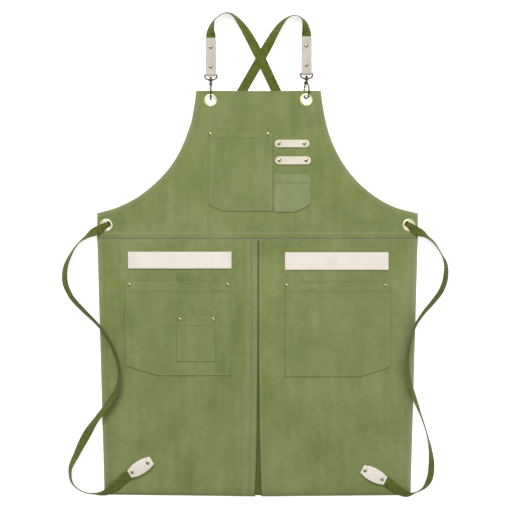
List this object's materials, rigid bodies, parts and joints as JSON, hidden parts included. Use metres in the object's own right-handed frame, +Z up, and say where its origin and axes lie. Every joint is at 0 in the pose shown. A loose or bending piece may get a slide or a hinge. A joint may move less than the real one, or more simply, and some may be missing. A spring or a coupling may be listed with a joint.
{
  "type": "cross-back apron",
  "caption": "Flat-laid canvas work apron: bib, split skirt, patch pockets, towel bands, crossed webbing straps clipped on with snap hooks and run through waist eyelets as ties.",
  "frame": {"origin": "bottom centre of the whole laid-out apron's box, on the surface it lies on", "axes": "+Y from the skirt's hem up to the neck straps, +X to the right as one looks down on the front, +Z up off the surface"},
  "size_m": [0.8242, 1.037, 0.0227],
  "materials": {
    "canvas": "sage green cotton canvas, plain weave, soft matt",
    "pocket_canvas": "same canvas cut for the patch pockets, a little lighter",
    "webbing": "darker olive flat woven webbing, 20 mm wide",
    "leather": "smooth cream leather with pale cut edges",
    "eyelet_metal": "pale gold plated, polished",
    "rivet_metal": "pale gold plated dome, polished",
    "hook_metal": "dark antique brass"
  },
  "bodies": {
    "root": {"bib": "canvas", "chest_pocket": "pocket_canvas", "d_loop_left": "hook_metal", "d_loop_right": "hook_metal", "eyelet_bib_left": "eyelet_metal", "eyelet_bib_right": "eyelet_metal", "eyelet_waist_left": "eyelet_metal", "eyelet_waist_right": "eyelet_metal", "left_pocket": "pocket_canvas", "pen_loop_lower": "leather", "pen_loop_upper": "leather", "pen_pocket": "pocket_canvas", "right_pocket": "pocket_canvas", "rivet_1": "rivet_metal", "rivet_10": "rivet_metal", "rivet_11": "rivet_metal", "rivet_12": "rivet_metal", "rivet_13": "rivet_metal", "rivet_14": "rivet_metal", "rivet_15": "rivet_metal", "rivet_16": "rivet_metal", "rivet_17": "rivet_metal", "rivet_18": "rivet_metal", "rivet_19": "rivet_metal", "rivet_2": "rivet_metal", "rivet_20": "rivet_metal", "rivet_3": "rivet_metal", "rivet_4": "rivet_metal", "rivet_5": "rivet_metal", "rivet_6": "rivet_metal", "rivet_7": "rivet_metal", "rivet_8": "rivet_metal", "rivet_9": "rivet_metal", "skirt_left": "canvas", "skirt_right": "canvas", "skirt_underlay": "canvas", "snap_hook_left": "hook_metal", "snap_hook_right": "hook_metal", "strap_left_shoulder": "webbing", "strap_right_shoulder": "webbing", "tab_left": "leather", "tab_right": "leather", "tip_left": "leather", "tip_right": "leather", "tool_pocket": "pocket_canvas", "towel_band_left": "leather", "towel_band_right": "leather"},
    "gate_left": {"gate_left": "hook_metal"},
    "gate_right": {"gate_right": "hook_metal"}
  },
  "joints": [
    {"name": "gate_left_hinge", "type": "hinge", "parent": "root", "child": "gate_left", "pos_m": [-0.09522, 0.36429, 0.0062], "axis": [-1, 0, 0], "range_deg": [0, 25], "stiffness_Nm_per_rad": 0.02, "springref_deg": -11.46},
    {"name": "gate_right_hinge", "type": "hinge", "parent": "root", "child": "gate_right", "pos_m": [0.10715, 0.36729, 0.0049], "axis": [-0.7071, 0, 0.7071], "range_deg": [0, 25], "stiffness_Nm_per_rad": 0.02, "springref_deg": -11.46}
  ]
}
